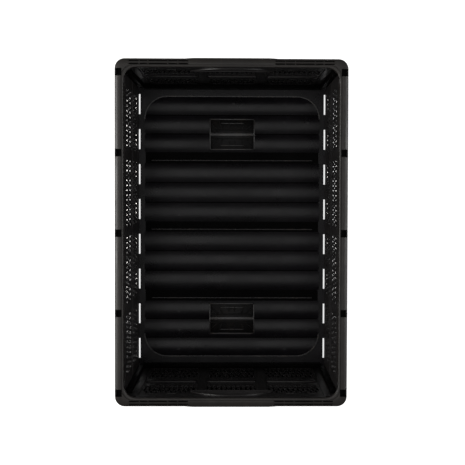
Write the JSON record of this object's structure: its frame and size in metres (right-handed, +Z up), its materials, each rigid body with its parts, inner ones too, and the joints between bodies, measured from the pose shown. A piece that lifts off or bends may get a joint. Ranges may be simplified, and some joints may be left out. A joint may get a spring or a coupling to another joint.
{
  "type": "collapsible storage crate",
  "caption": "Open-topped Euro-size plastic crate: ventilated long walls fold in half inwards and hinged end walls swing up, so the rim drops flat onto the base.",
  "frame": {"origin": "centre of the crate's footprint on the surface that it stands on", "axes": "+Z up, +Y along the long sides towards the rear end wall, +X across towards the right long wall"},
  "size_m": [0.4, 0.6, 0.32],
  "materials": {
    "frame_plastic": "dark grey-black moulded polypropylene with a rubbed rim",
    "wall_plastic": "black moulded polypropylene, fine satin texture",
    "base_plastic": "black moulded polypropylene, slightly glossy slats",
    "catch_plastic": "black clip-in insert, satin",
    "steel_rod": "plain drawn steel wire rod"
  },
  "bodies": {
    "base": {"base_tray": "base_plastic", "floor_catch_front": "catch_plastic", "floor_catch_rear": "catch_plastic", "floor_catch_bar_front": "steel_rod", "floor_catch_bar_rear": "steel_rod", "hinge_rod_bottom_left": "steel_rod", "hinge_rod_bottom_right": "steel_rod"},
    "left_lower": {"long_wall_left_lower": "wall_plastic", "hinge_rod_middle_left": "steel_rod"},
    "left_upper": {"long_wall_left_upper": "wall_plastic"},
    "right_lower": {"long_wall_right_lower": "wall_plastic", "hinge_rod_middle_right": "steel_rod"},
    "right_upper": {"long_wall_right_upper": "wall_plastic"},
    "frame": {"top_frame": "frame_plastic", "hinge_rod_top_left": "steel_rod", "hinge_rod_top_right": "steel_rod", "end_hinge_pin_front_left": "steel_rod", "end_hinge_pin_front_right": "steel_rod", "end_hinge_pin_rear_left": "steel_rod", "end_hinge_pin_rear_right": "steel_rod"},
    "end_front": {"end_wall_front": "wall_plastic"},
    "end_rear": {"end_wall_rear": "wall_plastic"}
  },
  "joints": [
    {"name": "fold", "type": "hinge", "parent": "base", "child": "left_lower", "pos_m": [-0.1898, 0, 0.033], "axis": [0, 1, 0], "range_deg": [0, 90]},
    {"name": "left_middle_fold", "type": "hinge", "parent": "left_lower", "child": "left_upper", "pos_m": [-0.1943, 0, 0.16], "axis": [0, -1, 0], "range_deg": [0, 180]},
    {"name": "frame_drop", "type": "hinge", "parent": "left_upper", "child": "frame", "pos_m": [-0.1898, 0, 0.287], "axis": [0, 1, 0], "range_deg": [0, 90]},
    {"name": "right_fold", "type": "hinge", "parent": "base", "child": "right_lower", "pos_m": [0.1898, 0, 0.033], "axis": [0, -1, 0], "range_deg": [0, 90]},
    {"name": "right_middle_fold", "type": "hinge", "parent": "right_lower", "child": "right_upper", "pos_m": [0.1943, 0, 0.16], "axis": [0, 1, 0], "range_deg": [0, 180]},
    {"name": "front_wall_swing", "type": "hinge", "parent": "frame", "child": "end_front", "pos_m": [0, -0.29, 0.304], "axis": [1, 0, 0], "range_deg": [0, 90]},
    {"name": "rear_wall_swing", "type": "hinge", "parent": "frame", "child": "end_rear", "pos_m": [0, 0.29, 0.304], "axis": [-1, 0, 0], "range_deg": [0, 90]}
  ],
  "couplings": [
    {"joint": "left_middle_fold", "follows": "fold", "ratio": 2},
    {"joint": "frame_drop", "follows": "fold", "ratio": 1},
    {"joint": "right_fold", "follows": "fold", "ratio": 1},
    {"joint": "right_middle_fold", "follows": "fold", "ratio": 2}
  ]
}
